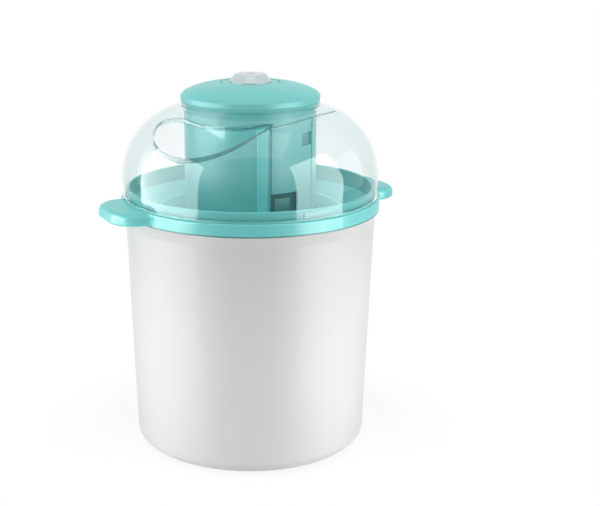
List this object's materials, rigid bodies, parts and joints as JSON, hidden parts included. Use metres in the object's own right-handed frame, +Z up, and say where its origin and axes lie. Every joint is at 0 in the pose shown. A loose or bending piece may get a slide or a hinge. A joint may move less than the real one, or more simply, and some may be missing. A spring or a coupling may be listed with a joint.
{
  "type": "electric ice cream maker",
  "caption": "Countertop ice cream freezer: tapered bucket with handle ring, lift-out freezer bowl, clear domed lid with filling opening, and geared motor unit turning a paddle.",
  "frame": {"origin": "on the supporting surface, under the centre of the bucket", "axes": "+Z up; the two handles lie along X; -Y is the front, and the motor unit's guide rib stands 16 degrees from it towards -X; +Y is the rear, where the cord inlet is"},
  "size_m": [0.239, 0.2, 0.2906],
  "materials": {
    "housing_white": "gloss white moulded plastic",
    "teal_plastic": "gloss teal moulded plastic",
    "clear_plastic": "clear moulded plastic",
    "button_white": "satin white plastic",
    "foot_rubber": "matt rubber",
    "seal_silicone": "soft teal silicone",
    "liner_aluminium": "brushed anodised aluminium",
    "bowl_plastic": "light grey plastic",
    "coolant": "blue cold-store gel in its sealed space",
    "inner_plastic": "natural moulded plastic",
    "gear_plastic": "natural acetal",
    "paddle_plastic": "white moulded plastic",
    "steel": "plain steel",
    "motor_steel": "zinc-plated pressed steel",
    "bronze": "sintered bronze",
    "black_plastic": "black moulded plastic"
  },
  "bodies": {
    "base": {"outer_housing": "housing_white", "rubber_feet": "foot_rubber", "rim_ring": "teal_plastic"},
    "bowl": {"bowl_liner": "liner_aluminium", "bowl_shell": "bowl_plastic", "bowl_rim": "teal_plastic", "coolant_gel": "coolant", "coolant_plug": "bowl_plastic"},
    "lid_ring": {"lid_seal": "seal_silicone"},
    "lid": {"lid_dome": "clear_plastic"},
    "motor_unit": {"motor_housing": "teal_plastic", "motor_cap": "teal_plastic", "case_screws": "steel", "cord_gland": "black_plastic", "button_bezel": "teal_plastic", "button_spring": "steel", "power_switch": "black_plastic", "switch_bracket": "inner_plastic", "gearbox_tray": "inner_plastic", "gearbox_cover": "inner_plastic", "gearbox_screws": "steel", "motor_can": "motor_steel", "motor_screws": "steel", "idler_pin": "steel", "output_bushing": "bronze", "thrust_washer": "steel"},
    "button": {"power_button": "button_white", "switch_plunger": "button_white"},
    "rotor": {"motor_shaft": "steel", "motor_pinion": "gear_plastic"},
    "idler": {"idler_gear": "gear_plastic"},
    "output": {"output_gear": "gear_plastic", "output_shaft": "steel", "shaft_clip": "steel"},
    "paddle": {"paddle": "paddle_plastic"}
  },
  "joints": [
    {"name": "bowl_lift", "type": "slide", "parent": "base", "child": "bowl", "axis": [0, 0, 1], "range_m": [0, 0.19]},
    {"name": "lid_lift", "type": "slide", "parent": "bowl", "child": "lid_ring", "axis": [0, 0, 1], "range_m": [0, 0.18]},
    {"name": "lid_turn", "type": "hinge", "parent": "lid_ring", "child": "lid", "pos_m": [0, 0, 0.1985], "axis": [0, 0, 1], "range_deg": [-15, 0]},
    {"name": "motor_lift", "type": "slide", "parent": "lid", "child": "motor_unit", "axis": [0, 0, 1], "range_m": [0, 0.11]},
    {"name": "button_press", "type": "slide", "parent": "motor_unit", "child": "button", "axis": [0, 0, -1], "range_m": [0, 0.0025], "stiffness_N_per_m": 600, "springref_m": -0.002, "deforming": ["button_spring"]},
    {"name": "paddle_spin", "type": "hinge", "parent": "lid", "child": "paddle", "pos_m": [0, 0, 0.17], "axis": [0, 0, 1], "continuous": true},
    {"name": "output_spin", "type": "hinge", "parent": "motor_unit", "child": "output", "pos_m": [0, 0, 0.19], "axis": [0, 0, 1], "continuous": true},
    {"name": "idler_spin", "type": "hinge", "parent": "motor_unit", "child": "idler", "pos_m": [0.0228, 0, 0.204], "axis": [0, 0, 1], "continuous": true},
    {"name": "motor_spin", "type": "hinge", "parent": "motor_unit", "child": "rotor", "pos_m": [0.00201, 0.012, 0.21], "axis": [0, 0, 1], "continuous": true}
  ],
  "couplings": [
    {"joint": "output_spin", "follows": "paddle_spin", "ratio": 1},
    {"joint": "idler_spin", "follows": "paddle_spin", "ratio": -3.75},
    {"joint": "motor_spin", "follows": "paddle_spin", "ratio": 18.75}
  ]
}
